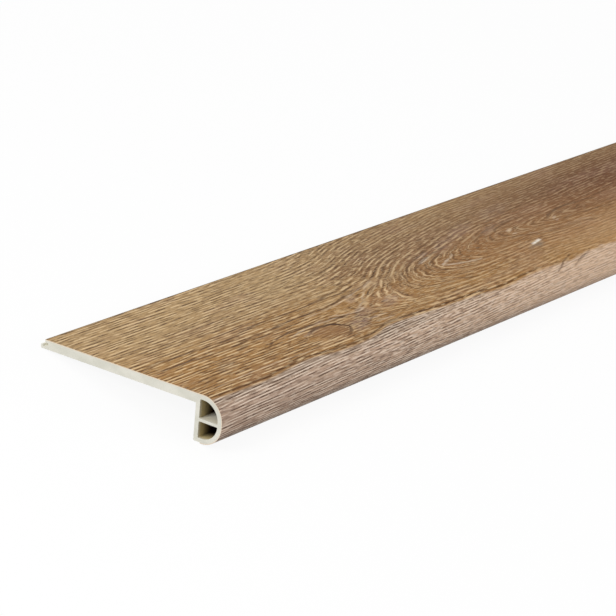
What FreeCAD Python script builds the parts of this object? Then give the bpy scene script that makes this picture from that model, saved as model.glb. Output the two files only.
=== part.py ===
import FreeCAD, Part
import math
import os

from FreeCAD import Vector

# Rigid vinyl stair tread with a bullnose front: one extruded core with a decor film wrapped over
# its walking surface and nose. Millimetres.
#
# The section is drawn level, in the tread's own plane: "back" runs from the rear face of the nose
# wall towards the back of the step, and "up" is measured from the walking surface, so everything
# below that surface is negative. The finished tread is then laid down the way it rests unheld on a
# level floor: on the foot of its nose wall and on the locking lip at its back edge.
#
# Row frame: X along the tread, Y from the nose to the back, Z up. The origin is the centre of the
# bounding box's bottom.

# Overall sizes
TREAD_LENGTH = 1200.0
TREAD_DEPTH = 115.0
NOSE_HEIGHT = 25.0
BOARD_THICKNESS = 5.0
FILM_THICKNESS = 0.5

# Bullnose
NOSE_DEPTH = 16.4
NOSE_TOP_RADIUS = 12.0
NOSE_FRONT_FLAT = 1.6
NOSE_SHELL = 2.1
NOSE_WALL = 2.5
WEB_THICKNESS = 1.5
WEB_DROP = 13.2
FILM_UNDERLAP = 1.0
WALL_FOOT_RADIUS = 0.8
WALL_ROOT_FILLET = 0.6
CHAMBER_FILLET = 0.5

# Click edge at the back: a tongue groove above a locking lip
UPPER_LIP = 1.7
GROOVE_HEIGHT = 1.5
GROOVE_DEPTH = 2.2
LIP_REACH = 2.6
LIP_FLOOR = 1.0
HOOK_WIDTH = 1.1
HOOK_RISE = 1.2
HOOK_FLANK = 0.4
HOOK_ROUNDING = 0.3
LIP_FOOT_RADIUS = 0.6


class SectionPath:
    """Edges of one section outline, laid end to end at one end of the tread."""

    def __init__(self, back, up):
        self.start = station(back, up)
        self.here = self.start
        self.edges = []

    def line_to(self, back, up):
        """Straight stretch to a point."""
        target = station(back, up)
        if self.here.distanceToPoint(target) > 1e-7:
            self.edges.append(Part.LineSegment(self.here, target).toShape())
            self.here = target
        return self

    def arc_about(self, back, up, radius, first_angle, last_angle):
        """Circular stretch about a centre, between two angles counted from the back direction."""
        ends = [around(back, up, radius, angle) for angle in (first_angle, last_angle)]
        middle = around(back, up, radius, (first_angle + last_angle) / 2)
        self.line_to(ends[0].y, ends[0].z)
        self.edges.append(Part.Arc(self.here, middle, ends[1]).toShape())
        self.here = ends[1]
        return self

    def face(self):
        """The closed outline as a flat face."""
        self.line_to(self.start.y, self.start.z)
        return Part.Face(Part.Wire(self.edges))


def station(back, up):
    """A point of the section in the plane of the tread's near end."""
    return Vector(-TREAD_LENGTH / 2, back, up)


def around(back, up, radius, angle):
    """The point of a circle at an angle in degrees, counted from the back direction."""
    turn = math.radians(angle)
    return station(back + radius * math.cos(turn), up + radius * math.sin(turn))


def extruded(face):
    """The full-length solid of a section face."""
    return face.extrude(Vector(TREAD_LENGTH, 0, 0))


# Places that several outlines share
LIP_END = TREAD_DEPTH - NOSE_DEPTH
JOINT_FACE = LIP_END - LIP_REACH
NOSE_FRONT = -NOSE_DEPTH
NOSE_BOTTOM_RADIUS = NOSE_HEIGHT - NOSE_FRONT_FLAT - NOSE_TOP_RADIUS
TOP_CENTRE = (NOSE_FRONT + NOSE_TOP_RADIUS, -NOSE_TOP_RADIUS)
BOTTOM_CENTRE = (NOSE_FRONT + NOSE_BOTTOM_RADIUS, NOSE_BOTTOM_RADIUS - NOSE_HEIGHT)
CORE_TOP = -FILM_THICKNESS
CORE_FOOT = FILM_THICKNESS - NOSE_HEIGHT
GROOVE_FLOOR = -(UPPER_LIP + GROOVE_HEIGHT)
LIP_FLOOR_TOP = -(BOARD_THICKNESS - LIP_FLOOR)


def nose_run(path, inset):
    """Adds the nose's curve, set in from its outer face, from the walking surface to the underside."""
    path.arc_about(*TOP_CENTRE, NOSE_TOP_RADIUS - inset, 90, 180)
    path.arc_about(*BOTTOM_CENTRE, NOSE_BOTTOM_RADIUS - inset, 180, 270)
    return path


def click_edge(path):
    """Adds the locking lip, its hook and the tongue groove, from the underside to the joint face."""
    path.arc_about(LIP_END - LIP_FOOT_RADIUS, LIP_FOOT_RADIUS - BOARD_THICKNESS, LIP_FOOT_RADIUS, 270, 360)
    hook_top = LIP_FLOOR_TOP + HOOK_RISE
    hook_front = LIP_END - HOOK_WIDTH
    path.arc_about(LIP_END - HOOK_ROUNDING, hook_top - HOOK_ROUNDING, HOOK_ROUNDING, 0, 90)
    path.line_to(hook_front, hook_top)
    path.line_to(hook_front - HOOK_FLANK, LIP_FLOOR_TOP)
    path.line_to(JOINT_FACE, LIP_FLOOR_TOP)
    path.line_to(JOINT_FACE, GROOVE_FLOOR)
    groove_radius = GROOVE_HEIGHT / 2
    path.arc_about(JOINT_FACE - GROOVE_DEPTH + groove_radius, GROOVE_FLOOR + groove_radius, groove_radius, 270, 90)
    path.line_to(JOINT_FACE, -UPPER_LIP)
    return path


def core_outline():
    """The core's outer section: board, click edge and bullnose."""
    path = SectionPath(JOINT_FACE, CORE_TOP)
    nose_run(path, FILM_THICKNESS)
    foot = WALL_FOOT_RADIUS
    path.arc_about(-foot, CORE_FOOT + foot, foot, 270, 360)
    root = WALL_ROOT_FILLET
    path.arc_about(root, -BOARD_THICKNESS - root, root, 180, 90)
    click_edge(path)
    return path.face()


def nose_inside():
    """Everything that the nose's shell encloses, from its curve back to the wall's rear face."""
    inset = FILM_THICKNESS + NOSE_SHELL
    path = SectionPath(0, -inset)
    nose_run(path, inset)
    path.line_to(0, inset - NOSE_HEIGHT)
    return extruded(path.face())


def slab(back, up, width, height):
    """A full-length bar, given by its low front corner and its section."""
    return Part.makeBox(TREAD_LENGTH, width, height, station(back, up))


def web_and_wall():
    """The level web across the nose and the upright wall behind it."""
    web = slab(NOSE_FRONT, -WEB_DROP - WEB_THICKNESS / 2, NOSE_DEPTH, WEB_THICKNESS)
    wall = slab(-NOSE_WALL, -NOSE_HEIGHT, NOSE_WALL, NOSE_HEIGHT)
    return web.fuse(wall)


def sharp_long_edges(solid):
    """Edges along the tread where two faces meet at a corner rather than a tangent."""
    found = []
    for edge in solid.Edges:
        if abs(edge.Length - TREAD_LENGTH) > 1e-6:
            continue
        faces = solid.ancestorsOfType(edge, Part.Face)
        normals = [face.normalAt(*face.Surface.parameter(edge.CenterOfMass)) for face in faces]
        if abs(normals[0].dot(normals[1])) < math.cos(math.radians(10)):
            found.append(edge)
    return found


def chambers():
    """The two hollows of the nose, with rounded corners."""
    divided = nose_inside().cut(web_and_wall())
    return [hollow.makeFillet(CHAMBER_FILLET, sharp_long_edges(hollow)) for hollow in divided.Solids]


def extruded_core():
    """The extruded core: one solid with the board, the click edge and the hollow bullnose."""
    core = extruded(core_outline())
    for hollow in chambers():
        core = core.cut(hollow)
    return core


def decor_film():
    """The wrapped film, from the joint face over the walking surface and round the nose."""
    path = SectionPath(JOINT_FACE, 0)
    nose_run(path, 0)
    film_end = BOTTOM_CENTRE[0] + FILM_UNDERLAP
    path.line_to(film_end, -NOSE_HEIGHT)
    path.line_to(film_end, CORE_FOOT)
    inner_bottom = NOSE_BOTTOM_RADIUS - FILM_THICKNESS
    path.arc_about(*BOTTOM_CENTRE, inner_bottom, 270, 180)
    inner_top = NOSE_TOP_RADIUS - FILM_THICKNESS
    path.arc_about(*TOP_CENTRE, inner_top, 180, 90)
    path.line_to(JOINT_FACE, CORE_TOP)
    return extruded(path.face())


def rest_tilt():
    """Angle in degrees by which the back drops until the locking lip meets the floor."""
    across = (LIP_END - LIP_FOOT_RADIUS) - (-WALL_FOOT_RADIUS)
    rise = (LIP_FOOT_RADIUS - BOARD_THICKNESS) - (CORE_FOOT + WALL_FOOT_RADIUS)
    span = math.hypot(across, rise)
    return math.degrees(math.atan2(rise, across) - math.asin((LIP_FOOT_RADIUS - WALL_FOOT_RADIUS) / span))


def laid_down(pieces):
    """Turns the level pieces to their rest and centres them over the origin."""
    turned = {name: shape.rotated(Vector(), Vector(1, 0, 0), -rest_tilt()) for name, shape in pieces.items()}
    box = Part.Compound(list(turned.values())).optimalBoundingBox(False, False)
    middle = Vector(-(box.XMin + box.XMax) / 2, -(box.YMin + box.YMax) / 2, -box.ZMin)
    return {name: shape.translated(middle) for name, shape in turned.items()}


def main():
    """Builds both pieces and writes one file for each."""
    os.makedirs("parts", exist_ok=True)
    pieces = laid_down({"extruded_core": extruded_core(), "decor_film": decor_film()})
    for name, shape in pieces.items():
        shape.exportStep(f"parts/{name}.step")
        box = shape.optimalBoundingBox(False, False)
        print(name, "solids", len(shape.Solids), "valid", shape.isValid(), "volume", round(shape.Volume, 1), box)
    print("rest tilt", round(rest_tilt(), 4))


main()
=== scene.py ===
"""Looks of a rigid vinyl stair tread: its extruded cream core and the oak decor film wrapped over it."""
import logging
import math
from dataclasses import dataclass, field
from enum import Enum

import bpy
import numpy as np
from mathutils import Matrix, Vector


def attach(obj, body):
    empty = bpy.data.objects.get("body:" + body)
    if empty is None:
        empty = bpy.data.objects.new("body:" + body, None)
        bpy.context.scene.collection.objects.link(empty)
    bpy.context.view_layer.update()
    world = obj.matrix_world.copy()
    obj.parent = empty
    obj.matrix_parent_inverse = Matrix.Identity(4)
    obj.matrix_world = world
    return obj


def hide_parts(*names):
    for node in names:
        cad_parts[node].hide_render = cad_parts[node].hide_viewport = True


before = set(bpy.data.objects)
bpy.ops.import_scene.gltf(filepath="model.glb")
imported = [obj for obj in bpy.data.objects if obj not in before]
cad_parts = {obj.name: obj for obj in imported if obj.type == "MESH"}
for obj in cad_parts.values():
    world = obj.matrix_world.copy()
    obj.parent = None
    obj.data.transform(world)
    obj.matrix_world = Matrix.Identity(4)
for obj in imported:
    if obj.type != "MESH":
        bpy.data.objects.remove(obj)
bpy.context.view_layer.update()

MM = 0.001
IMAGE_SIDE = 616
FILM_SPAN = 140.0
ROW_SEED = 7.3
FACING = 0.9

Point = tuple[float, float]
Loop = list[Point]
Triple = tuple[float, float, float]
Colour = Triple
Socket = bpy.types.NodeSocket
Feeds = dict[str | int, object]

log = logging.getLogger("stair_tread")


class Slot(Enum):
    """The record's material slots."""

    CORE = "core"
    DECOR = "decor"


def arc(centre: Point, radius: float, first: float, last: float, steps: int) -> Loop:
    """Points along an arc.

    Args:
        centre: Centre of the arc.
        radius: Radius of the arc.
        first: Angle of the first point, in degrees from the back direction.
        last: Angle of the last point.
        steps: Number of chords.

    Returns:
        The points, both ends included.
    """
    angles = np.radians(np.linspace(first, last, steps + 1))
    return [(centre[0] + radius * math.cos(a), centre[1] + radius * math.sin(a)) for a in angles]


def straight(first: Point, last: Point, steps: int) -> Loop:
    """Points along a straight stretch, without its last point."""
    return [tuple(np.array(first) + (np.array(last) - np.array(first)) * k / steps) for k in range(steps)]


def srgb(red: int, green: int, blue: int) -> Colour:
    """A colour as a paint chart gives it, 0 to 255, in the linear values that a shader takes."""
    shares = (red / 255, green / 255, blue / 255)
    return tuple(c / 12.92 if c <= 0.04045 else ((c + 0.055) / 1.055) ** 2.4 for c in shares)


def placed(name: str, data: bpy.types.ID) -> bpy.types.Object:
    """A new object of the scene."""
    made = bpy.data.objects.new(name, data)
    bpy.context.scene.collection.objects.link(made)
    return made


def feed(tree: bpy.types.NodeTree, target: Socket, value: object) -> None:
    """Links a socket to another one, or sets it to a plain value."""
    if isinstance(value, Socket):
        tree.links.new(value, target)
    elif target.type == "RGBA":
        target.default_value = (*value, 1.0)
    else:
        target.default_value = value


def add_node(tree: bpy.types.NodeTree, kind: str, feeds: Feeds | None = None,
             **settings: object) -> bpy.types.Node:
    """Adds a node.

    Args:
        tree: The tree that it joins.
        kind: Its type.
        feeds: What goes into its inputs, by name or number: sockets or plain values.
        settings: Its own settings.

    Returns:
        The node.
    """
    made = tree.nodes.new(kind)
    for name, value in settings.items():
        setattr(made, name, value)
    for name, value in (feeds or {}).items():
        feed(tree, made.inputs[name], value)
    return made


@dataclass(frozen=True)
class TreadSection:
    """The tread's section, level: back from the rear face of the nose wall, up from the walking surface."""

    length: float = 1200 * MM
    depth: float = 115 * MM
    nose_height: float = 25 * MM
    board: float = 5 * MM
    film: float = 0.5 * MM
    nose_depth: float = 16.4 * MM
    top_radius: float = 12 * MM
    front_flat: float = 1.6 * MM
    shell: float = 2.1 * MM
    wall: float = 2.5 * MM
    web: float = 1.5 * MM
    web_drop: float = 13.2 * MM
    underlap: float = 1.0 * MM
    wall_foot: float = 0.8 * MM
    wall_root: float = 0.6 * MM
    chamber_fillet: float = 0.5 * MM
    upper_lip: float = 1.7 * MM
    groove_height: float = 1.5 * MM
    groove_depth: float = 2.2 * MM
    lip_reach: float = 2.6 * MM
    lip_floor: float = 1.0 * MM
    hook_width: float = 1.1 * MM
    hook_rise: float = 1.2 * MM
    hook_flank: float = 0.4 * MM
    hook_rounding: float = 0.3 * MM
    lip_foot: float = 0.6 * MM

    @property
    def bottom_radius(self) -> float:
        """Radius of the nose's lower curve."""
        return self.nose_height - self.front_flat - self.top_radius

    @property
    def lip_end(self) -> float:
        """How far back the locking lip ends."""
        return self.depth - self.nose_depth

    @property
    def joint_face(self) -> float:
        """How far back the joint face stands."""
        return self.lip_end - self.lip_reach

    @property
    def top_centre(self) -> Point:
        """Centre of the nose's upper curve."""
        return self.top_radius - self.nose_depth, -self.top_radius

    @property
    def bottom_centre(self) -> Point:
        """Centre of the nose's lower curve."""
        return self.bottom_radius - self.nose_depth, self.bottom_radius - self.nose_height

    @property
    def core_foot(self) -> float:
        """Height of the core's lowest face."""
        return self.film - self.nose_height

    def nose_run(self, inset: float, steps: int = 22) -> Loop:
        """The nose's curve, set in from its outer face, from the walking surface to the underside."""
        upper = arc(self.top_centre, self.top_radius - inset, 90, 180, steps)
        lower = arc(self.bottom_centre, self.bottom_radius - inset, 180, 270, steps)
        return upper + lower

    def film_loop(self) -> Loop:
        """Outline of the film: its outer run from the joint face round the nose, then its inner run back."""
        end = self.bottom_centre[0] + self.underlap
        outer = straight((self.joint_face, 0.0), (self.top_centre[0], 0.0), 44) + self.nose_run(0.0)
        inner = [(end, self.core_foot)] + self.nose_run(self.film)[::-1]
        return outer + [(end, -self.nose_height)] + inner + [(self.joint_face, -self.film)]

    def core_loop(self) -> Loop:
        """Outline of the core: bullnose, foot of the wall, underside and click edge."""
        foot, root, lip = self.wall_foot, self.wall_root, self.lip_foot
        loop = [(self.joint_face, -self.film)] + self.nose_run(self.film)
        loop += arc((-foot, self.core_foot + foot), foot, 270, 360, 6)
        loop += arc((root, -self.board - root), root, 180, 90, 5)
        loop += arc((self.lip_end - lip, lip - self.board), lip, 270, 360, 6)
        return loop + self.click_edge()

    def click_edge(self) -> Loop:
        """The lip's hook and the tongue groove, from the lip's end up to the joint face."""
        lip_top = self.lip_floor - self.board
        hook_top = lip_top + self.hook_rise
        hook_front = self.lip_end - self.hook_width
        groove_floor = -(self.upper_lip + self.groove_height)
        half = self.groove_height / 2
        soft = self.hook_rounding
        loop = arc((self.lip_end - soft, hook_top - soft), soft, 0, 90, 4)
        loop += [(hook_front, hook_top), (hook_front - self.hook_flank, lip_top)]
        loop += [(self.joint_face, lip_top), (self.joint_face, groove_floor)]
        loop += arc((self.joint_face - self.groove_depth + half, groove_floor + half), half, 270, 90, 10)
        return loop + [(self.joint_face, -self.upper_lip)]

    def chamber_loops(self) -> list[Loop]:
        """Outlines of the two hollows beside the web, run the other way round from the core's outline."""
        inset = self.film + self.shell
        soft = self.chamber_fillet
        rear = -self.wall - soft
        front = inset - self.nose_depth + soft
        web_top = self.web / 2 - self.web_drop
        web_foot = web_top - self.web
        upper = arc((rear, -inset - soft), soft, 0, 90, 4)
        upper += arc(self.top_centre, self.top_radius - inset, 90, 179.6, 18)
        upper += arc((front, web_top + soft), soft, 180, 270, 4)
        upper += arc((rear, web_top + soft), soft, 270, 360, 4)
        lower = arc((rear, web_foot - soft), soft, 0, 90, 4)
        lower += arc((front, web_foot - soft), soft, 90, 180, 4)
        lower += arc(self.bottom_centre, self.bottom_radius - inset, 188, 270, 18)
        lower += arc((rear, inset - self.nose_height + soft), soft, 270, 360, 4)
        return [upper[::-1], lower[::-1]]

    def unrolled(self, back: np.ndarray, up: np.ndarray) -> np.ndarray:
        """Distance from the joint face along the film, as if the film were peeled off and laid flat.

        Args:
            back: How far back each point is.
            up: How high each point is.

        Returns:
            The distance of each point's foot on the film's outer face.
        """
        top, bottom = self.top_centre, self.bottom_centre
        flat = self.joint_face - back
        to_curve = self.joint_face - top[0]
        on_upper = to_curve + self.top_radius * np.arctan2(top[0] - back, up - top[1])
        to_front = to_curve + self.top_radius * math.pi / 2
        on_front = to_front + top[1] - up
        to_lower = to_front + self.front_flat
        on_lower = to_lower + self.bottom_radius * np.arctan2(bottom[1] - up, bottom[0] - back)
        beyond = to_lower + self.bottom_radius * math.pi / 2 + back - bottom[0]
        upper_half = np.where(back < top[0], on_upper, flat)
        lower_half = np.where(back < bottom[0], on_lower, beyond)
        return np.where(up > top[1], upper_half, np.where(up > bottom[1], on_front, lower_half))

    def rest_tilt(self) -> float:
        """Angle in radians by which the back drops until the locking lip meets the floor."""
        across = self.lip_end - self.lip_foot + self.wall_foot
        rise = self.lip_foot - self.board - self.core_foot - self.wall_foot
        span = math.hypot(across, rise)
        return math.atan2(rise, across) - math.asin((self.lip_foot - self.wall_foot) / span)

    def rest_matrix(self) -> Matrix:
        """Places the level tread, near end at x 0, as it rests in the row frame."""
        turn = Matrix.Rotation(-self.rest_tilt(), 4, "X")
        outline = [turn @ Vector((0, back, up)) for back, up in self.film_loop() + self.core_loop()]
        sides = [p.y for p in outline]
        centring = Vector((-self.length / 2, -(min(sides) + max(sides)) / 2, -min(p.z for p in outline)))
        return Matrix.Translation(centring) @ turn


SECTION = TreadSection()


class StockExtruder:
    """Geometry Nodes tree that runs a section along the tread, closes its ends and gives it its finish."""

    NAME = "extruded_stock"
    WELD_GAP = 0.002 * MM
    SHARP_ANGLE = math.radians(28)

    def __init__(self) -> None:
        """Builds the tree once for every piece."""
        self.tree = bpy.data.node_groups.new(self.NAME, "GeometryNodeTree")
        face = self.tree.interface
        self.inputs = {
            name: face.new_socket(name=name, in_out="INPUT", socket_type=kind).identifier
            for name, kind in (
                ("Section", "NodeSocketObject"),
                ("Length", "NodeSocketFloat"),
                ("Stations", "NodeSocketInt"),
                ("Finish", "NodeSocketMaterial"),
            )
        }
        face.new_socket(name="Stock", in_out="OUTPUT", socket_type="NodeSocketGeometry")
        self._wire()

    def _add(self, kind: str, feeds: Feeds | None = None,
             **settings: object) -> bpy.types.bpy_prop_collection:
        """Adds a node and gives its outputs."""
        return add_node(self.tree, kind, feeds, **settings).outputs

    def _wire(self) -> None:
        """Lays the walls along the length, one cap on each end, and joins them."""
        given = self._add("NodeGroupInput")
        shape = self._add("GeometryNodeObjectInfo", {"Object": given["Section"]}, transform_space="ORIGINAL")
        section = shape["Geometry"]
        far = self._add("ShaderNodeCombineXYZ", {"Z": given["Length"]})[0]
        rail = self._add("GeometryNodeCurvePrimitiveLine", {"End": far})[0]
        rings = self._add("GeometryNodeResampleCurve", {"Curve": rail, "Count": given["Stations"]})[0]
        walls = self._add("GeometryNodeCurveToMesh", {"Curve": rings, "Profile Curve": section})[0]
        cap = self._add("GeometryNodeFillCurve", {"Curve": section})[0]
        near_cap = self._add("GeometryNodeFlipFaces", {0: cap})[0]
        far_cap = self._add("GeometryNodeTransform", {"Geometry": cap, "Translation": far})[0]

        joined = add_node(self.tree, "GeometryNodeJoinGeometry")
        for part in (walls, near_cap, far_cap):
            feed(self.tree, joined.inputs[0], part)
        merging = {"Geometry": joined.outputs[0], "Distance": self.WELD_GAP}
        merged = self._add("GeometryNodeMergeByDistance", merging)[0]
        real = self._add("GeometryNodeRealizeInstances", {0: merged})[0]
        dressed = self._add("GeometryNodeSetMaterial", {"Geometry": real, "Material": given["Finish"]})[0]
        self._add("NodeGroupOutput", {0: dressed})

    def extrude(self, name: str, loops: list[Loop], stations: int,
                finish: bpy.types.Material) -> bpy.types.Object:
        """Runs a section along the tread.

        Args:
            name: Name of the piece.
            loops: Outlines of the section, holes included.
            stations: Number of rings of vertices along the length.
            finish: Material of the piece.

        Returns:
            The piece as a plain mesh at rest in the row frame.
        """
        curve = bpy.data.curves.new(f"{name}_section", "CURVE")
        curve.dimensions = "2D"
        curve.fill_mode = "NONE"
        for loop in loops:
            spline = curve.splines.new("POLY")
            spline.points.add(len(loop) - 1)
            spline.points.foreach_set("co", [v for back, up in loop for v in (back, up, 0.0, 1.0)])
            spline.use_cyclic_u = True
        section = placed(f"{name}_section", curve)
        blank = placed(f"{name}_blank", bpy.data.meshes.new(f"{name}_blank"))
        run = blank.modifiers.new("stock", "NODES")
        run.node_group = self.tree
        given = {"Section": section, "Length": SECTION.length, "Stations": stations, "Finish": finish}
        for label, value in given.items():
            run[self.inputs[label]] = value
        bpy.context.view_layer.update()
        made = blank.evaluated_get(bpy.context.evaluated_depsgraph_get())
        mesh = bpy.data.meshes.new_from_object(made)
        mesh.name = name
        for leftover in (blank, section):
            bpy.data.objects.remove(leftover)

        level = Matrix(((0, 0, 1, 0), (1, 0, 0, 0), (0, 1, 0, 0), (0, 0, 0, 1)))
        mesh.transform(SECTION.rest_matrix() @ level)
        mesh.polygons.foreach_set("use_smooth", [True] * len(mesh.polygons))
        mesh.set_sharp_from_angle(angle=self.SHARP_ANGLE)
        mesh.update()
        return placed(name, mesh)


@dataclass(frozen=True)
class Knot:
    """A knot in the oak: the growth lines are pushed round it."""

    along: float
    across: float
    half_length: float
    half_width: float
    lift: float

    def nearness(self, along: np.ndarray, across: np.ndarray) -> np.ndarray:
        """1 at the knot's heart, falling away around it."""
        ahead = (along - self.along) / self.half_length
        aside = (across - self.across) / self.half_width
        return np.exp(-(ahead**2 + aside**2))


@dataclass(frozen=True)
class OakGrowth:
    """Where the printed oak's growth lines run, in millimetres along and across the peeled-off film.

    A plain-sawn board cuts nested growth shells round a pith that lies under its face. The pith's depth
    and side at a few stations give nested arches where it rises, and straight grain where it lies deep.
    """

    stations: tuple[float, ...] = (
        0, 150, 175, 190, 205, 221, 233, 247, 257, 275, 301, 325, 342, 380, 430, 480, 560, 620, 700, 800, 900,
        1000, 1200,
    )
    pith_depths: tuple[float, ...] = (
        37.5, 36.5, 35.5, 34, 31.8, 28.5, 26, 23.5, 22, 19, 15.5, 12.5, 11, 7, 4, 3, 5, 12, 24, 34, 38,
        30, 14,
    )
    pith_sides: tuple[float, ...] = (
        79, 79, 79, 78, 76.5, 73, 70.5, 68.5, 67.5, 65.5, 62.5, 60, 59, 60, 59, 56, 52, 50, 50, 52, 55,
        58, 60,
    )
    softening: float = 7.0
    inner_ring: float = 3.4
    outer_ring: float = 2.9
    ring_change: tuple[float, float] = (24.0, 40.0)
    knots: tuple[Knot, ...] = (Knot(120, 87, 27, 9.5, 7.5), Knot(742, 34, 16, 7, 7.0))

    def _along_pith(self, along: np.ndarray, values: tuple[float, ...]) -> np.ndarray:
        """A station table read at each place, with its corners softened."""
        offsets = np.linspace(-1, 1, 9)
        weights = 1 - 0.8 * np.abs(offsets)
        reads = [np.interp(along + offset * self.softening, self.stations, values) for offset in offsets]
        return sum(weight * read for weight, read in zip(weights, reads)) / weights.sum()

    def ring_number(self, along: np.ndarray, across: np.ndarray) -> np.ndarray:
        """Number of growth rings between the pith and each place on the film."""
        side = self._along_pith(along, self.pith_sides)
        depth = self._along_pith(along, self.pith_depths)
        radius = np.hypot(across - side, depth)
        for knot in self.knots:
            radius = radius + knot.lift * knot.nearness(along, across)
        table = np.linspace(0, FILM_SPAN, 5601)
        narrow = np.clip((table - self.ring_change[0]) / (self.ring_change[1] - self.ring_change[0]), 0, 1)
        width = self.inner_ring + (self.outer_ring - self.inner_ring) * narrow * narrow * (3 - 2 * narrow)
        count = np.concatenate([[0], np.cumsum((0.5 / width[1:] + 0.5 / width[:-1]) * np.diff(table))])
        return np.interp(radius, table, count)

    def ring_spread(self, along: np.ndarray, across: np.ndarray) -> np.ndarray:
        """Millimetres between neighbouring growth lines at each place on the film."""
        step = 0.5
        ahead = self.ring_number(along + step, across) - self.ring_number(along - step, across)
        aside = self.ring_number(along, across + step) - self.ring_number(along, across - step)
        steepest = np.hypot(ahead, aside)
        return 2 * step / np.maximum(steepest, 0.05)


@dataclass(frozen=True)
class Spot:
    """A place on a piece in millimetres, whole and as its first two coordinates."""

    place: Socket
    along: Socket
    across: Socket


class NodeSheet:
    """Short calls for laying out one material's nodes, each made after the nodes that it reads."""

    def __init__(self, name: str) -> None:
        """Starts a material with a Principled shader."""
        self.material = bpy.data.materials.new(name)
        self.material.use_nodes = True
        self.tree = self.material.node_tree
        self.tree.nodes.clear()
        self.shader = self.node("ShaderNodeBsdfPrincipled")
        self.output = self.node("ShaderNodeOutputMaterial", {"Surface": self.shader.outputs[0]})

    def node(self, kind: str, feeds: Feeds | None = None, **settings: object) -> bpy.types.Node:
        """A new node, with what goes into its inputs and its settings."""
        return add_node(self.tree, kind, feeds, **settings)

    def worked(self, kind: str, operation: str, values: tuple[object, ...]) -> bpy.types.Node:
        """A new node with its operation, whose first inputs take some values."""
        return self.node(kind, dict(enumerate(values)), operation=operation)

    def spot(self, place: Socket) -> Spot:
        """A place together with its coordinates."""
        apart = self.node("ShaderNodeSeparateXYZ", {0: place}).outputs
        return Spot(place, apart["X"], apart["Y"])

    def in_millimetres(self, place: Socket) -> Spot:
        """A place that is given in metres."""
        scaled = self.node("ShaderNodeVectorMath", {0: place, "Scale": 1 / MM}, operation="SCALE")
        return self.spot(scaled.outputs[0])

    def stored(self, name: str) -> Socket:
        """A number that the mesh stores."""
        return self.node("ShaderNodeAttribute", attribute_name=name).outputs["Fac"]

    def maths(self, operation: str, *values: object) -> Socket:
        """Result of a Math node."""
        return self.worked("ShaderNodeMath", operation, values).outputs[0]

    def plus(self, *values: object) -> Socket:
        """Sum of two or more values."""
        total = values[0]
        for value in values[1:]:
            total = self.maths("ADD", total, value)
        return total

    def times(self, *values: object) -> Socket:
        """Product of two or more values."""
        total = values[0]
        for value in values[1:]:
            total = self.maths("MULTIPLY", total, value)
        return total

    def rest_of(self, cover: Socket) -> Socket:
        """What a cover leaves free."""
        return self.maths("SUBTRACT", 1.0, cover)

    def vector(self, operation: str, *values: object) -> Socket:
        """Result of a Vector Math node that gives a vector."""
        return self.worked("ShaderNodeVectorMath", operation, values).outputs[0]

    def measure(self, operation: str, *values: object) -> Socket:
        """Result of a Vector Math node that gives a number."""
        return self.worked("ShaderNodeVectorMath", operation, values).outputs["Value"]

    def joined(self, *values: object) -> Socket:
        """A vector of up to three values."""
        return self.node("ShaderNodeCombineXYZ", dict(enumerate(values))).outputs[0]

    def noise_node(self, place: Socket, lengths: Triple, detail: float) -> bpy.types.Node:
        """A noise whose features have the given lengths."""
        feeds = {"Vector": self.vector("DIVIDE", place, lengths), "Scale": 1.0, "Detail": detail}
        return self.node("ShaderNodeTexNoise", feeds, noise_dimensions="3D")

    def noise(self, place: Socket, lengths: Triple, detail: float = 2.0) -> Socket:
        """Noise from 0 to 1, about 0.5 on average."""
        return self.noise_node(place, lengths, detail).outputs["Fac"]

    def waver(self, place: Socket, lengths: Triple, detail: float = 2.0) -> Socket:
        """Noise from -0.5 to 0.5, about 0 on average."""
        return self.maths("SUBTRACT", self.noise(place, lengths, detail), 0.5)

    def fade(self, value: Socket, low: float, high: float, first: float = 0.0, last: float = 1.0) -> Socket:
        """Smooth change from first to last while a value goes from low to high."""
        feeds = dict(enumerate((value, low, high, first, last)))
        made = self.node("ShaderNodeMapRange", feeds, interpolation_type="SMOOTHSTEP", clamp=False)
        return made.outputs["Result"]

    def traced(self, value: Socket, points: tuple[Point, ...]) -> Socket:
        """A smooth curve through points, read at a value.

        Args:
            value: Where the curve is read.
            points: The curve's points in order, none above FILM_SPAN.

        Returns:
            The curve's height, level before its first point and after its last.
        """
        first, last = points[0][0], points[-1][0]
        share = self.maths("DIVIDE", self.maths("SUBTRACT", value, first), last - first)
        made = self.node("ShaderNodeFloatCurve", {"Value": share})
        curve = made.mapping.curves[0]
        for _ in points[2:]:
            curve.points.new(0.5, 0.5)
        for knob, (place, height) in zip(curve.points, points):
            knob.location = ((place - first) / (last - first), height / FILM_SPAN)
        made.mapping.update()
        return self.times(made.outputs[0], FILM_SPAN)

    def blend(self, factor: object, first: object, second: object) -> Socket:
        """Two colours mixed."""
        feeds = {0: factor, 6: first, 7: second}
        return self.node("ShaderNodeMix", feeds, data_type="RGBA", clamp_factor=True).outputs[2]

    def finish(self, colour: Socket, roughness: float, specular: float) -> None:
        """Gives the shader its colour, its roughness and its specular level."""
        feeds = {"Base Color": colour, "Roughness": roughness, "Specular IOR Level": specular}
        for name, value in feeds.items():
            feed(self.tree, self.shader.inputs[name], value)

    def bump(self, height: Socket, distance: float, strength: float) -> None:
        """Fine relief on the shader, whose full height is distance metres."""
        relief = self.node("ShaderNodeBump", {"Strength": strength, "Distance": distance, "Height": height})
        feed(self.tree, self.shader.inputs["Normal"], relief.outputs[0])


class Tone(Enum):
    """Colours of the print's single marks."""

    DARK = srgb(84, 56, 34)
    BROWN = srgb(128, 92, 62)
    RUSSET = srgb(150, 108, 68)
    HONEY = srgb(176, 138, 96)
    MAUVE = srgb(150, 122, 106)
    ROSE = srgb(196, 172, 154)
    LIME = srgb(226, 206, 182)
    CHALK = srgb(250, 240, 224)
    ASH = srgb(132, 120, 104)


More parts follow.
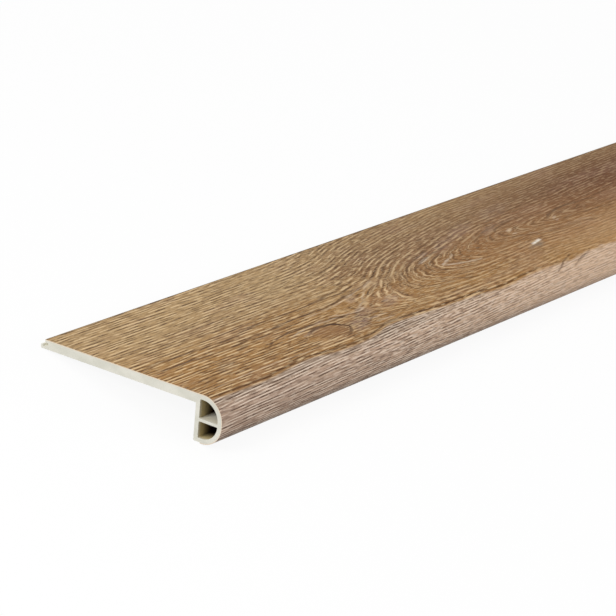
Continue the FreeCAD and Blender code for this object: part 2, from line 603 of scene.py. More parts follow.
@dataclass(frozen=True)
class Mark:
    """A soft oval of one tone on the print, turned by a slant in degrees."""

    along: float
    across: float
    half_length: float
    half_width: float
    slant: float
    tone: Tone
    strength: float

    def cover(self, sheet: NodeSheet, spot: Spot) -> Socket:
        """How much of the mark's tone shows at a place."""
        turn = math.radians(self.slant)
        axes = (
            (math.cos(turn) / self.half_length, math.sin(turn) / self.half_length, 0.0),
            (-math.sin(turn) / self.half_width, math.cos(turn) / self.half_width, 0.0),
        )
        turned = [sheet.measure("DOT_PRODUCT", spot.place, axis) for axis in axes]
        centre = [axis[0] * self.along + axis[1] * self.across for axis in axes]
        away = sheet.measure("DISTANCE", sheet.joined(*turned), (*centre, 0.0))
        return sheet.fade(away, 0.45, 1.15, self.strength, 0.0)


@dataclass(frozen=True)
class GrainLine:
    """One line of the print that stands out, through points along and across the film."""

    points: tuple[Point, ...]
    half_width: float
    tone: Tone
    strength: float

    def cover(self, sheet: NodeSheet, spot: Spot) -> Socket:
        """How much of the line's tone shows at a place."""
        first, last = self.points[0][0], self.points[-1][0]
        taper = 0.12 * (last - first)
        height = sheet.traced(spot.along, self.points)
        away = sheet.maths("ABSOLUTE", sheet.maths("SUBTRACT", spot.across, height))
        inside = sheet.fade(away, 0.35 * self.half_width, 1.2 * self.half_width, self.strength, 0.0)
        started = sheet.fade(spot.along, first, first + taper)
        ended = sheet.fade(spot.along, last - taper, last, 1.0, 0.0)
        return sheet.times(inside, started, ended)


@dataclass(frozen=True)
class OakDecor:
    """Oak print under an embossed wear layer, with pale liming in its pores, which on the nose also carries
    painted glints.
    """

    pale: Colour = srgb(182, 149, 104)
    honey: Colour = srgb(168, 124, 70)
    umber: Colour = srgb(110, 66, 34)
    mauve: Colour = srgb(164, 128, 104)
    sapwood: Colour = srgb(200, 160, 118)
    # Colours of the strip over the nose, paler and pinker than the top: a painted sheen.
    sheened_wrap_near: Colour = srgb(178, 150, 130)
    sheened_wrap_far: Colour = srgb(205, 174, 146)
    amber: Colour = srgb(150, 96, 50)
    ring_line: Colour = srgb(80, 48, 22)
    pore: Colour = srgb(64, 38, 18)
    lime: Colour = srgb(242, 212, 166)
    glinting_nose_lime: Colour = srgb(238, 218, 198)
    cut_edge: Colour = srgb(250, 234, 212)
    roughness: float = 0.6
    specular: float = 0.16
    relief: float = 0.15 * MM
    wrap_line: tuple[Point, ...] = (
        (0, 103.5), (22, 104.4), (42, 104.6), (62, 103.3), (80, 102.2), (96, 104), (120, 105), (140, 103.4),
        (152, 101), (170, 101.4), (190, 102.6), (235, 104.3), (260, 106), (285, 104.6), (312, 105),
        (400, 104.8), (560, 105), (760, 103), (960, 105), (1200, 104),
    )
    lines: tuple[GrainLine, ...] = (
        GrainLine(((14, 47), (60, 48), (110, 47.5), (158, 45)), 0.7, Tone.DARK, 0.3),
        GrainLine(((20, 53), (64, 54), (110, 52.5), (170, 48)), 0.7, Tone.DARK, 0.35),
        GrainLine(((4, 58), (25, 59), (50, 60.5), (84, 60.8)), 1.0, Tone.DARK, 0.8),
        GrainLine(((80, 58.5), (106, 56.8), (135, 57.3), (160, 55), (186, 51)), 0.9, Tone.DARK, 0.7),
        GrainLine(((4, 66.8), (30, 67.4), (52, 69), (72, 68.3), (96, 65.6)), 1.0, Tone.DARK, 0.8),
        GrainLine(((90, 66.8), (120, 64.9), (150, 65.3), (166, 62.3), (190, 56)), 1.0, Tone.DARK, 0.8),
        GrainLine(((124, 67.6), (150, 67.1), (166, 64.3), (192, 57.6)), 0.8, Tone.LIME, 0.3),
        GrainLine(((56, 73.4), (75, 71.8), (95, 69.8), (116, 68.2)), 0.8, Tone.DARK, 0.5),
        GrainLine(((134, 75), (142, 76.2), (150, 79), (167, 78.6)), 0.8, Tone.LIME, 0.5),
        GrainLine(((72, 85), (82, 79.3), (101, 75.2), (120, 75.8), (133, 76.5), (150, 80), (164, 81.3)),
                  0.9, Tone.DARK, 0.85),
        GrainLine(((96, 81), (108, 78.6), (121, 77.4), (133, 78.2), (143, 78)), 0.7, Tone.LIME, 0.35),
        GrainLine(((141, 97), (150, 92.5), (160, 89), (168, 92), (178, 93)), 0.9, Tone.DARK, 0.5),
        GrainLine(((60, 87.5), (75, 86), (88, 88), (104, 87)), 0.7, Tone.DARK, 0.3),
        GrainLine(((8, 79), (18, 79.5), (28, 82.5), (40, 81)), 0.8, Tone.DARK, 0.4),
        GrainLine(((0, 92), (24, 90), (50, 93), (80, 91), (100, 95)), 0.7, Tone.DARK, 0.25),
        GrainLine(((10, 98.5), (44, 97), (78, 98), (104, 101)), 0.7, Tone.LIME, 0.3),
        GrainLine(((152, 79), (166, 75), (178, 68), (192, 59.5), (206, 55)), 1.1, Tone.LIME, 0.28),
        GrainLine(((205, 78), (211, 70), (220, 63.5), (236, 57)), 1.0, Tone.DARK, 0.45),
        GrainLine(((220.5, 72), (226, 65.3), (235, 58), (244, 53.4), (260, 49), (275, 44.7), (294, 40.8)),
                  1.0, Tone.DARK, 0.6),
        GrainLine(((221, 71), (226, 77.5), (232, 82), (240, 86)), 0.9, Tone.DARK, 0.45),
        GrainLine(((231.5, 70), (235, 64), (246, 57.8), (262, 53), (287, 48)), 1.0, Tone.DARK, 0.6),
        GrainLine(((231.7, 70), (238, 78.6), (246, 84.5), (256, 90)), 0.9, Tone.DARK, 0.45),
        GrainLine(((247.5, 69), (250, 64.3), (261, 57.9), (276, 55)), 1.0, Tone.DARK, 0.6),
        GrainLine(((247.5, 68), (252, 72), (260, 75), (276, 78)), 0.9, Tone.DARK, 0.45),
        GrainLine(((257, 67.5), (266, 70.3), (276, 73.2), (287, 75)), 1.0, Tone.LIME, 0.55),
        GrainLine(((257, 67.5), (264, 64.5), (272, 61.8), (279, 59)), 1.0, Tone.LIME, 0.55),
        GrainLine(((301, 63), (306, 57), (313, 53.6), (325, 49.5), (340, 46.5), (369, 44)),
                  1.0, Tone.DARK, 0.45),
        GrainLine(((301, 62), (304, 69), (310, 75), (317, 79)), 0.9, Tone.DARK, 0.35),
        GrainLine(((328.5, 58.5), (333, 53), (340, 49.8), (353, 47.2), (372, 46)), 1.1, Tone.DARK, 0.5),
        GrainLine(((328.5, 57), (331, 62), (337, 66), (347, 68)), 0.9, Tone.DARK, 0.4),
        GrainLine(((379.5, 62), (385, 57), (396, 53.6), (411, 52), (425, 52.4), (446, 55.5)),
                  1.3, Tone.DARK, 0.6),
        GrainLine(((345, 66.5), (352, 69), (366, 71), (380, 72.3), (396, 73), (414, 76.5)),
                  0.8, Tone.LIME, 0.25),
        GrainLine(((339, 65), (351, 71), (363, 73), (377, 74.4), (392, 75), (410, 79)), 1.0, Tone.DARK, 0.45),
        GrainLine(((384, 66), (400, 65), (420, 67), (446, 70)), 1.0, Tone.DARK, 0.4),
        GrainLine(((310, 111.5), (318, 109), (325, 106), (336, 103.5)), 0.8, Tone.DARK, 0.6),
        GrainLine(((329, 112), (338, 109), (345, 107.5), (356, 104.5)), 0.8, Tone.DARK, 0.55),
        GrainLine(((329, 80), (333, 79.3), (338, 78.6), (344, 77.8)), 1.45, Tone.CHALK, 0.95),
    )
    calm_oval: Mark = Mark(120.5, 88.5, 15, 7.5, 8, Tone.RUSSET, 0.55)
    marks: tuple[Mark, ...] = (
        Mark(85, 42, 78, 10, 0, Tone.BROWN, 0.26),
        Mark(80, 66, 66, 8, 0, Tone.BROWN, 0.22),
        Mark(262, 37, 66, 15, -6, Tone.BROWN, 0.28),
        Mark(140, 91, 20, 7, 0, Tone.BROWN, 0.4),
        Mark(222, 66, 40, 9, 0, Tone.BROWN, 0.18),
        Mark(40, 84, 12, 5, -20, Tone.ASH, 0.35),
        Mark(106, 96, 14, 5, 0, Tone.HONEY, 0.55),
        Mark(112, 82.5, 9, 1.7, -12, Tone.ROSE, 0.75),
        Mark(127, 75.8, 5, 1.3, -4, Tone.ROSE, 0.6),
        Mark(144, 91, 15, 6, -32, Tone.MAUVE, 0.7),
        Mark(158, 83, 9, 4.5, -10, Tone.MAUVE, 0.55),
        Mark(155, 86.5, 13, 1.5, 0, Tone.DARK, 0.6),
        Mark(143, 79.5, 6, 1.6, 18, Tone.DARK, 0.6),
        Mark(150, 84, 5, 1.8, -40, Tone.DARK, 0.45),
        Mark(158, 90.8, 11, 1.2, 2, Tone.ROSE, 0.75),
        Mark(160, 77.8, 8, 1.2, 0, Tone.ROSE, 0.6),
        Mark(160, 96, 9, 0.9, 3, Tone.ROSE, 0.5),
        Mark(156, 100, 13, 1.1, 2, Tone.DARK, 0.5),
        Mark(170, 66, 9, 4, -28, Tone.ROSE, 0.35),
        Mark(186, 80.5, 10, 4.5, -25, Tone.ROSE, 0.5),
        Mark(256, 55, 12, 1.4, -14, Tone.LIME, 0.75),
        Mark(262, 49.5, 9, 1.6, -12, Tone.ROSE, 0.4),
        Mark(287, 47, 20, 6, -22, Tone.MAUVE, 0.45),
        Mark(318, 38, 24, 6, -18, Tone.MAUVE, 0.4),
        Mark(366, 30, 26, 8, -14, Tone.MAUVE, 0.3),
        Mark(301, 62.5, 3, 1.3, 0, Tone.DARK, 0.7),
        Mark(300, 58, 5, 1.5, -20, Tone.HONEY, 0.5),
        Mark(334, 48, 13, 3.5, -20, Tone.ROSE, 0.28),
        Mark(343, 56.5, 4.2, 2.0, -20, Tone.LIME, 0.5),
        Mark(341, 62, 2.6, 1.0, 0, Tone.LIME, 0.5),
        Mark(350, 57, 3, 2.4, 0, Tone.DARK, 0.4),
        Mark(387, 60.5, 5, 1.1, -24, Tone.ROSE, 0.55),
        Mark(384, 64.5, 4, 1.0, -20, Tone.ROSE, 0.5),
        Mark(418, 60, 34, 6, 6, Tone.BROWN, 0.35),
        # Grey painted shadow just under the pale fleck.
        Mark(332, 82.5, 11, 4.0, -14, Tone.ASH, 0.6),
        Mark(560, 40, 40, 7, -4, Tone.MAUVE, 0.3),
        Mark(690, 72, 30, 5, 6, Tone.ROSE, 0.3),
        Mark(742, 34, 11, 4.5, 4, Tone.BROWN, 0.7),
        Mark(744, 34, 6, 2.0, 8, Tone.DARK, 0.7),
        Mark(766, 37, 12, 2.4, 6, Tone.ROSE, 0.5),
    )

    def material(self) -> bpy.types.Material:
        """The decor's material, which reads the film's peeled-off place and its ring numbers."""
        sheet = NodeSheet("oak_decor")
        spot = sheet.in_millimetres(sheet.node("ShaderNodeUVMap", uv_map="peeled").outputs[0])
        beyond = self._beyond_wrap(sheet, spot)
        nose = sheet.fade(beyond, 0.8, 3.0)
        spread = sheet.stored("spread")
        grown = self._growth(sheet, spot)
        dark, light = self._growth_lines(sheet, spot, grown, spread)
        pores, limed = self._pores(sheet, spot, grown, spread, nose)
        calm = self.calm_oval.cover(sheet, spot)
        lively = sheet.rest_of(calm)
        shaken, worn = self._shaken(sheet, spot)

        wood = self._ground(sheet, spot, nose)
        wood = sheet.blend(dark, wood, self.ring_line)
        # Pale line beside each dark growth line: pale early wood, and also a painted highlight on the
        # embossed groove's lit wall.
        wood = sheet.blend(light, wood, self.lime)
        wood = self._marked(sheet, shaken, worn, wood, self.marks)
        wood = sheet.blend(self._seam(sheet, spot, beyond), wood, self.ring_line)
        wood = sheet.blend(sheet.times(calm, 0.9), wood, self.calm_oval.tone.value)
        wood = sheet.blend(sheet.times(pores, lively), wood, self.pore)
        # Limed pores: the print's pale liming, painted brighter on the nose as painted glints on the embossed
        # relief.
        wood = sheet.blend(sheet.times(limed, lively), wood, sheet.blend(nose, self.lime, self.glinting_nose_lime))
        wood = self._marked(sheet, shaken, worn, wood, self.lines)
        wood = self._knot_eye(sheet, spot, wood)
        wood = sheet.blend(sheet.fade(spot.across, 0.2, 1.0, 0.6, 0.0), wood, self.pore)
        wood = sheet.blend(sheet.stored("cut"), wood, self.cut_edge)
        sheet.finish(wood, self.roughness, self.specular)

        relief = sheet.plus(sheet.times(pores, -1.0), sheet.times(dark, -0.5), sheet.times(limed, 0.3))
        sheet.bump(relief, self.relief, 0.6)
        return sheet.material

    def _beyond_wrap(self, sheet: NodeSheet, spot: Spot) -> Socket:
        """How far a place lies past the line where the paler strip starts, frayed where it fades out."""
        frayed = sheet.times(sheet.waver(spot.place, (16, 6, 1)), sheet.fade(spot.along, 280, 335, 0.0, 7.0))
        return sheet.plus(spot.across, sheet.times(sheet.traced(spot.along, self.wrap_line), -1.0), frayed)

    def _seam(self, sheet: NodeSheet, spot: Spot, beyond: Socket) -> Socket:
        """Cover of the dark seam on that line, weaker towards the far end."""
        on_line = sheet.fade(sheet.maths("ABSOLUTE", beyond), 0.3, 1.1, 1.0, 0.0)
        return sheet.times(on_line, sheet.fade(spot.along, 250, 330, 0.75, 0.2))

    def _growth(self, sheet: NodeSheet, spot: Spot) -> Socket:
        """Ring numbers that waver a little from the even growth."""
        slow = sheet.waver(spot.place, (60, 16, 1))
        quick = sheet.waver(spot.place, (12, 3, 1))
        return sheet.plus(sheet.stored("growth"), slow, sheet.times(quick, 0.3))

    def _growth_lines(self, sheet: NodeSheet, spot: Spot, grown: Socket,
                      spread: Socket) -> tuple[Socket, Socket]:
        """Cover of the dark late wood and of the pale line beside it: pale early wood, and also a painted
        highlight on the lit wall of the embossed groove.
        """
        phase = sheet.maths("FRACT", grown)
        before = sheet.times(sheet.rest_of(phase), spread)
        after = sheet.times(phase, spread)
        ringed = sheet.joined(spot.along, sheet.times(sheet.maths("FLOOR", grown), ROW_SEED))
        vivid = sheet.fade(sheet.noise(ringed, (60, 1, 1), 1), 0.36, 0.66, 0.25, 1.0)
        shown = sheet.times(
            vivid,
            sheet.fade(spot.along, 290, 400, 1.0, 0.5),
            sheet.fade(spot.across, 25, 62, 0.7, 1.0),
            sheet.fade(spot.across, 80, 92, 1.0, 0.4),
        )
        dark = sheet.times(sheet.fade(before, 0.0, 0.3), sheet.fade(before, 0.8, 1.9, 1.0, 0.0), shown, 0.5)
        light = sheet.times(sheet.fade(after, 0.0, 0.25), sheet.fade(after, 0.5, 1.3, 1.0, 0.0), shown, 0.22)
        return dark, light

    def _dashes(self, sheet: NodeSheet, rows: Socket, along: Socket, length: float) -> list[Socket]:
        """Cover of the dark and of the pale dashes that lie in rows, one row for each whole number."""
        edge = 0.16
        phase = sheet.maths("FRACT", rows)
        number = sheet.times(sheet.maths("FLOOR", rows), ROW_SEED)
        covers = []
        for shift, start, end in ((0.0, 0.04, 0.48), (200.0, 0.5, 0.96)):
            moved = sheet.joined(sheet.plus(along, shift), number)
            broken = sheet.fade(sheet.noise(moved, (length, 1, 1), 0), 0.42, 0.6, 0.12, 1.0)
            risen = sheet.fade(phase, start, start + edge)
            fallen = sheet.fade(phase, end - edge, end, 1.0, 0.0)
            covers.append(sheet.times(risen, fallen, broken))
        return covers

    def _pores(self, sheet: NodeSheet, spot: Spot, grown: Socket, spread: Socket,
               nose: Socket) -> list[Socket]:
        """Cover of the dark and of the limed pores: straight near the cut end and on the nose, else
        along the growth lines."""
        top = sheet.rest_of(nose)
        curved = sheet.fade(spot.along, 110, 185)
        wide = sheet.fade(spread, 4.5, 8.0)
        drift = sheet.times(sheet.waver(spot.place, (80, 11, 1), 1), 2.2)
        lean = sheet.times(spot.along, 0.02)
        plain = sheet.times(sheet.rest_of(curved), top)
        runs = (
            (sheet.plus(sheet.times(spot.across, 0.41), drift), 10.0, plain),
            (sheet.plus(sheet.times(spot.across, 0.72), lean, drift), 13.0, nose),
            (sheet.times(grown, 1.2), 10.0, sheet.times(curved, top, sheet.rest_of(wide))),
            (sheet.times(grown, 3.0), 10.0, sheet.times(curved, top, wide)),
        )
        crisp = sheet.fade(spot.along, 100, 420, 1.0, 0.4)
        loose = sheet.fade(spot.along, 60, 200, 0.35, 0.6)
        sets = [self._dashes(sheet, rows, spot.along, length) for rows, length, _ in runs]
        covers = []
        dark_kind, limed_kind = (0.0, 0.5, 0.6, 0.85, 0.95), (300.0, 0.53, 0.64, 0.72, 0.85)
        for which, (shift, low, high, on_top, on_nose) in enumerate((dark_kind, limed_kind)):
            combed = sheet.plus(*(sheet.times(found[which], run[2]) for found, run in zip(sets, runs)))
            shifted = sheet.vector("ADD", spot.place, (shift, shift, 0.0))
            single = sheet.times(sheet.fade(sheet.noise(shifted, (6, 0.95, 1), 1), low, high), loose)
            strength = sheet.fade(nose, 0, 1, on_top, on_nose)
            covers.append(sheet.times(sheet.maths("MAXIMUM", combed, single), crisp, strength))
        return covers

    def _ground(self, sheet: NodeSheet, spot: Spot, nose: Socket) -> Socket:
        """The wood's ground colour, without its lines and pores."""
        return sheet.blend(nose, self._top_ground(sheet, spot), self._wrapped_ground(sheet, spot))

    def _top_ground(self, sheet: NodeSheet, spot: Spot) -> Socket:
        """Pale at the back and honey at the front, browner towards the far end, with mauve clouds and a
        painted shade along the front near the near end.
        """
        along, across = spot.along, spot.across
        drift = sheet.waver(spot.place, (90, 24, 1))
        front = sheet.fade(sheet.plus(across, sheet.times(drift, 60.0)), 30, 75)
        ground = sheet.blend(front, self.pale, self.honey)
        first_step = sheet.fade(sheet.plus(along, sheet.times(drift, 90.0)), 150, 245, 0.0, 0.55)
        second_step = sheet.fade(along, 290, 520, 0.0, 0.5)
        back = sheet.fade(across, 40, 94, 1.0, 0.0)
        eased = sheet.times(sheet.fade(along, 620, 900, 1.0, 0.45), sheet.fade(across, 0, 30, 0.6, 1.0))
        browned = sheet.times(sheet.plus(first_step, second_step), back, eased)
        ground = sheet.blend(browned, ground, self.umber)
        cloud = sheet.fade(sheet.noise(spot.place, (55, 18, 3)), 0.5, 0.68, 0.0, 0.3)
        ground = sheet.blend(cloud, ground, self.mauve)
        warmth = sheet.times(sheet.fade(along, 180, 320, 0.0, 0.32), sheet.fade(along, 400, 520, 1.0, 0.45))
        warmth = sheet.times(warmth, sheet.fade(across, 26, 50), sheet.fade(across, 82, 96, 1.0, 0.0))
        ground = sheet.blend(warmth, ground, self.amber)
        far_glow = sheet.times(sheet.fade(along, 270, 420, 0.0, 0.4), sheet.fade(across, 60, 92))
        ground = sheet.blend(far_glow, ground, self.sapwood)
        # Painted shade along the front of the walking surface near the near end, strongest where it turns
        # down to the nose.
        shade_depth = sheet.plus(sheet.fade(across, 72, 92), sheet.fade(across, 93, 101, 0.0, 0.7))
        front_shade = sheet.times(sheet.fade(along, 110, 240, 0.14, 0.0), shade_depth)
        return sheet.blend(front_shade, ground, self.umber)

    def _wrapped_ground(self, sheet: NodeSheet, spot: Spot) -> Socket:
        """The strip that wraps the nose, painted paler and pinker as a painted sheen, greyer on the bend and
        darker at its foot as painted shade.
        """
        along, across = spot.along, spot.across
        wrapped = sheet.blend(sheet.fade(along, 0, 340), self.sheened_wrap_near, self.sheened_wrap_far)
        # Painted shade just past the wrap line, where the film starts to bend, strongest near the near end.
        bend_shade = sheet.times(sheet.fade(across, 107, 112, 0.5, 0.0), sheet.fade(along, 130, 300, 1.0, 0.2))
        wrapped = sheet.blend(bend_shade, wrapped, Tone.ASH.value)
        # Painted shade on the underside of the nose, darker near the near end.
        foot = sheet.times(sheet.fade(across, 122, 130, 0.0, 0.7), sheet.fade(along, 200, 420, 1.0, 0.4))
        return sheet.blend(foot, wrapped, self.pore)

    def _shaken(self, sheet: NodeSheet, spot: Spot) -> tuple[Spot, Socket]:
        """A raggedly shifted place, for single marks, and how much of them is left there."""
        ragged = sheet.noise_node(spot.place, (9.0, 3.5, 1.0), 2.0)
        centred = sheet.vector("SUBTRACT", ragged.outputs["Color"], (0.5, 0.5, 0.5))
        moved = sheet.vector("ADD", spot.place, sheet.vector("MULTIPLY", centred, (7.0, 1.3, 0.0)))
        return sheet.spot(moved), sheet.fade(ragged.outputs["Fac"], 0.38, 0.56, 0.4, 1.0)

    def _marked(self, sheet: NodeSheet, spot: Spot, worn: Socket, wood: Socket,
                items: tuple[Mark, ...] | tuple[GrainLine, ...]) -> Socket:
        """Lays single marks or lines over the wood, worn away in places."""
        for item in items:
            wood = sheet.blend(sheet.times(item.cover(sheet, spot), worn), wood, item.tone.value)
        return wood

    def _knot_eye(self, sheet: NodeSheet, spot: Spot, wood: Socket) -> Socket:
        """The lens-shaped eye of the knot, pointed at one end and blunt at the other, with a dark rim."""
        centre, half_size, slant = (119.5, 88.0, 0.0), (15.5, 7.6, 1.0), math.radians(9.0)
        feeds = {"Vector": spot.place, "Location": centre, "Rotation": (0.0, 0.0, slant), "Scale": half_size}
        turned = sheet.node("ShaderNodeMapping", feeds, vector_type="TEXTURE")
        eye = sheet.spot(turned.outputs[0])
        ahead, aside = eye.along, eye.across
        wobble = sheet.times(sheet.waver(spot.place, (8, 3, 2)), 0.5)
        tip = sheet.maths("POWER", sheet.maths("ABSOLUTE", sheet.maths("MINIMUM", ahead, 0.0)), 1.7)
        blunt = sheet.maths("POWER", sheet.maths("MAXIMUM", ahead, 0.0), 4.0)
        lens = sheet.plus(tip, blunt, sheet.maths("ABSOLUTE", aside), wobble)
        rings = sheet.fade(sheet.maths("FRACT", sheet.times(lens, 3.2)), 0.55, 0.9)
        wood = sheet.blend(sheet.times(rings, sheet.fade(lens, 0.9, 1.0, 0.5, 0.0)), wood, Tone.BROWN.value)
        shaded = sheet.plus(sheet.fade(aside, -0.25, 0.15, 0.6, 0.0), sheet.fade(ahead, 0.1, 0.7, 0.15, 0.7))
        rim = sheet.times(
            sheet.fade(lens, 0.7, 0.9),
            sheet.fade(lens, 1.02, 1.25, 1.0, 0.0),
            shaded,
            sheet.fade(ahead, -0.95, -0.35, 0.25, 1.0),
        )
        return sheet.blend(rim, wood, Tone.DARK.value)


@dataclass(frozen=True)
class CreamVinyl:
    """Stone-filled cream vinyl, smooth from the die and rougher where it is sawn."""

    cream: Colour = srgb(248, 245, 232)
    shade: Colour = srgb(233, 231, 217)
    fleck: Colour = srgb(176, 169, 152)
    # Colours of the painted shade inside the hollows, near the open ends and deeper in.
    shallow_shade: Colour = srgb(210, 192, 142)
    deep_shade: Colour = srgb(40, 24, 10)
    roughness: float = 0.55
    specular: float = 0.15
    saw_marks: float = 0.04 * MM

    def material(self) -> bpy.types.Material:
        """The core's material, whose hollows are painted darker with their depth: painted shade."""
        sheet = NodeSheet("cream_vinyl")
        spot = sheet.in_millimetres(sheet.node("ShaderNodeTexCoord").outputs["Object"])
        cloud = sheet.noise(spot.place, (40, 16, 9))
        grit = sheet.fade(sheet.noise(spot.place, (0.6, 0.45, 0.45), 1), 0.64, 0.76)
        streak = sheet.noise(spot.place, (90, 1.1, 1.1))
        tone = sheet.blend(sheet.fade(cloud, 0.35, 0.7), self.cream, self.shade)
        tone = sheet.blend(sheet.fade(streak, 0.5, 0.75, 0.0, 0.35), tone, self.shade)
        tone = sheet.blend(sheet.times(grit, 0.3), tone, self.fleck)

        # Painted shade in the two hollows: olive just inside the open ends, near black deeper in.
        half_length = SECTION.length / MM / 2
        depth = sheet.maths("SUBTRACT", half_length, sheet.maths("ABSOLUTE", spot.along))
        dark = sheet.blend(sheet.fade(depth, 1, 11), self.shallow_shade, self.deep_shade)
        inside = sheet.times(sheet.stored("hollow"), sheet.fade(depth, 0.0, 2.5, 0.35, 1.0))
        sheet.finish(sheet.blend(inside, tone, dark), self.roughness, self.specular)
        sheet.bump(sheet.noise(spot.place, (30, 0.5, 0.18)), self.saw_marks, 0.4)
        return sheet.material


def level_frame(items: bpy.types.bpy_prop_collection, name: str) -> np.ndarray:
    """Vectors of a mesh's points or faces, turned to the level tread's frame: along, back and up.

    Args:
        items: The points or faces.
        name: Which vector of theirs: co or center, which are places, or normal.

    Returns:
        One row for each.
    """
    flat = np.empty(len(items) * 3)
    items.foreach_get(name, flat)
    level = np.array(SECTION.rest_matrix().inverted())
    origin = 0.0 if name == "normal" else level[:3, 3]
    return flat.reshape(-1, 3) @ level[:3, :3].T + origin


def mark_faces(mesh: bpy.types.Mesh, name: str, values: np.ndarray) -> None:
    """Stores one number per face of a mesh, for its finish to read."""
    marks = mesh.attributes.new(name, "FLOAT", "FACE")
    marks.data.foreach_set("value", values.astype(np.float32))


@dataclass
class DecorFilm:
    """The film that is wrapped over the walking surface and the nose."""

    stations: int = 481
    growth: OakGrowth = field(default_factory=OakGrowth)
    finish: OakDecor = field(default_factory=OakDecor)

    def build(self, extruder: StockExtruder) -> bpy.types.Object:
        """Builds and dresses the film.

        Args:
            extruder: What runs the section along the tread.

        Returns:
            The film's piece.
        """
        piece = extruder.extrude("wrapped_film", [SECTION.film_loop()], self.stations, self.finish.material())
        self._mark_places(piece.data)
        self._mark_cuts(piece.data)
        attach(piece, "root")
        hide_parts("decor_film")
        return piece

    def _mark_places(self, mesh: bpy.types.Mesh) -> None:
        """Stores where each point lies on the peeled-off film, and its ring number."""
        points = level_frame(mesh.vertices, "co")
        along = points[:, 0]
        across = SECTION.unrolled(points[:, 1], points[:, 2])
        for name, read in (("growth", self.growth.ring_number), ("spread", self.growth.ring_spread)):
            stored = mesh.attributes.new(name, "FLOAT", "POINT")
            stored.data.foreach_set("value", read(along / MM, across / MM))
        corners = np.empty(len(mesh.loops), dtype=np.int64)
        mesh.loops.foreach_get("vertex_index", corners)
        peeled = mesh.uv_layers.new(name="peeled")
        peeled.data.foreach_set("uv", np.stack([along[corners], across[corners]], 1).ravel())

    def _mark_cuts(self, mesh: bpy.types.Mesh) -> None:
        """Stores which faces are cut edges of the film: both ends and both long edges."""
        normals = level_frame(mesh.polygons, "normal")
        mark_faces(mesh, "cut", (np.abs(normals[:, 0]) > FACING) | (normals[:, 1] > FACING))


@dataclass
class ExtrudedCore:
    """The extruded core: board, click edge and hollow bullnose."""

    stations: int = 61
    # Share of the hollows' painted shade that the top of the web takes.
    web_top_shade_share: float = 0.25
    finish: CreamVinyl = field(default_factory=CreamVinyl)

    def build(self, extruder: StockExtruder) -> bpy.types.Object:
        """Builds and dresses the core.

        Args:
            extruder: What runs the section along the tread.

        Returns:
            The core's piece.
        """
        loops = [SECTION.core_loop(), *SECTION.chamber_loops()]
        piece = extruder.extrude("hollow_core", loops, self.stations, self.finish.material())
        self._mark_hollows(piece.data)
        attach(piece, "root")
        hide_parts("extruded_core")
        return piece

    def _mark_hollows(self, mesh: bpy.types.Mesh) -> None:
        """Stores which faces line the two hollows, for the painted shade in them; the top of the web takes
        only a share of it and stays paler.
        """
        back, up = level_frame(mesh.polygons, "center")[:, 1:].T
        normals = level_frame(mesh.polygons, "normal")
        slack = 0.1 * MM
        inset = SECTION.film + SECTION.shell - slack
        top, bottom = SECTION.top_centre, SECTION.bottom_centre
        upper = np.hypot(np.minimum(back - top[0], 0), np.maximum(up - top[1], 0))
        lower = np.hypot(np.minimum(back - bottom[0], 0), np.minimum(up - bottom[1], 0))
        enclosed = (upper < SECTION.top_radius - inset) & (lower < SECTION.bottom_radius - inset)
        enclosed &= back < slack - SECTION.wall
        walls = enclosed & (np.abs(normals[:, 0]) < 0.5)
        web_top = (normals[:, 2] > 0.8) & (up > -SECTION.web_drop)
        mark_faces(mesh, "hollow", walls * np.where(web_top, self.web_top_shade_share, 1.0))


@dataclass(frozen=True)
class SoftLamp:
    """A square soft light: where it hangs, the point that it faces, its side in metres and its watts."""

    name: str
    place: Triple
    aim: Triple
    side: float
    power: float

    def hang(self) -> None:
        """Hangs the light."""
        data = bpy.data.lights.new(self.name, "AREA")
        data.shape = "SQUARE"
        data.size = self.side
        data.energy = self.power
        lamp = placed(self.name, data)
        lamp.location = self.place
        lamp.rotation_euler = (Vector(self.aim) - Vector(self.place)).to_track_quat("-Z", "Y").to_euler()


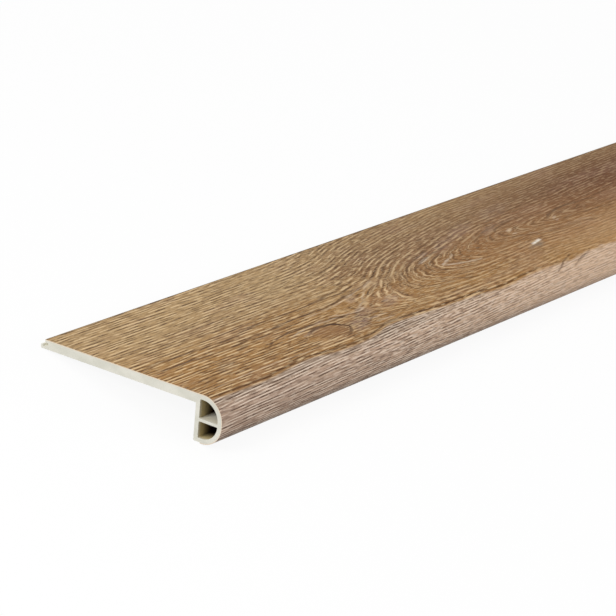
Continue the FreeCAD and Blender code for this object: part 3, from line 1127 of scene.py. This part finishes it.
@dataclass
class Studio:
    """White floor, soft lights and the camera, set in the tread's own level frame."""

    azimuth: float = 34.579
    elevation: float = 19.234
    roll: float = 5.044
    focal_pixels: float = 2723.5
    offset: Triple = (-53.144 * MM, 40.374 * MM, 1300.032 * MM)
    lamps: tuple[SoftLamp, ...] = (
        SoftLamp("overhead_soft", (-0.05, 0.3, 1.5), (-0.15, 0.0, 0.0), 1.2, 4.2),
        SoftLamp("front_right_soft", (0.42, -1.5, 0.46), (-0.24, 0.0, 0.0), 1.0, 14.3),
        SoftLamp("near_end_soft", (-1.58, 0.34, 0.72), (-0.6, 0.0, 0.0), 0.5, 8.5),
    )

    def place_camera(self) -> None:
        """Sets the camera that looks at the tread as the photograph does."""
        turn, tip = math.radians(self.azimuth), math.radians(self.elevation)
        ahead = Vector((math.cos(tip) * math.cos(turn), math.cos(tip) * math.sin(turn), -math.sin(tip)))
        right = ahead.cross(Vector((0, 0, 1))).normalized()
        down = ahead.cross(right)
        lens_axes = Matrix((right, down, ahead))
        rolled = Matrix.Rotation(math.radians(self.roll), 3, "Z") @ lens_axes
        eye = -(rolled.transposed() @ Vector(self.offset))
        pose = Matrix((rolled[0], -rolled[1], -rolled[2])).transposed().to_4x4()
        pose.translation = eye
        data = bpy.data.cameras.new("camera")
        data.sensor_width = 36.0
        data.lens = self.focal_pixels * data.sensor_width / IMAGE_SIDE
        data.clip_start, data.clip_end = 0.05, 60.0
        camera = placed("camera", data)
        camera.matrix_world = SECTION.rest_matrix() @ pose
        bpy.context.scene.camera = camera

    def lay_floor(self) -> None:
        """Lays the white floor, which shows the tread's soft shadow."""
        mesh = bpy.data.meshes.new("floor")
        half = 12.0
        corners = [(-half, -half, 0), (half, -half, 0), (half, half, 0), (-half, half, 0)]
        mesh.from_pydata(corners, [], [(0, 1, 2, 3)])
        floor = placed("floor", mesh)
        sheet = NodeSheet("white_floor")
        sheet.shader.inputs["Roughness"].default_value = 0.9
        glow = sheet.node("ShaderNodeEmission")
        rays = sheet.node("ShaderNodeLightPath").outputs
        passed_on = sheet.maths("MAXIMUM", rays["Is Glossy Ray"], rays["Is Transmission Ray"])
        seen = sheet.maths("MAXIMUM", rays["Is Camera Ray"], passed_on)
        white = sheet.blend(seen, (0.3, 0.3, 0.3), (0.95, 0.95, 0.95))
        feed(sheet.tree, sheet.shader.inputs["Base Color"], white)
        shaders = {0: sheet.times(seen, 0.92), 1: sheet.shader.outputs[0], 2: glow.outputs[0]}
        mixed = sheet.node("ShaderNodeMixShader", shaders)
        feed(sheet.tree, sheet.output.inputs["Surface"], mixed.outputs[0])
        mesh.materials.append(sheet.material)

    def light_room(self) -> None:
        """White world with soft light."""
        world = bpy.data.worlds.new("studio")
        bpy.context.scene.world = world
        world.use_nodes = True
        tree = world.node_tree
        tree.nodes.clear()
        rays = add_node(tree, "ShaderNodeLightPath").outputs
        dim = add_node(tree, "ShaderNodeBackground", {"Color": (1.0, 1.0, 1.0), "Strength": 0.5})
        white = add_node(tree, "ShaderNodeBackground", {"Strength": 1.0})
        sides = {0: rays["Is Camera Ray"], 1: dim.outputs[0], 2: white.outputs[0]}
        mixed = add_node(tree, "ShaderNodeMixShader", sides)
        add_node(tree, "ShaderNodeOutputWorld", {0: mixed.outputs[0]})
        for lamp in self.lamps:
            lamp.hang()

    def build(self) -> None:
        """Sets up the whole studio."""
        bpy.context.scene.view_settings.view_transform = "Standard"
        self.lay_floor()
        self.light_room()
        self.place_camera()


def main() -> None:
    """Builds the tread's pieces and the studio, and reports each piece."""
    logging.basicConfig(level=logging.INFO, format="%(message)s")
    extruder = StockExtruder()
    for maker in (ExtrudedCore(), DecorFilm()):
        piece = maker.build(extruder)
        log.info("%s: %d faces", piece.name, len(piece.data.polygons))
    Studio().build()


if __name__ == "__main__":
    main()
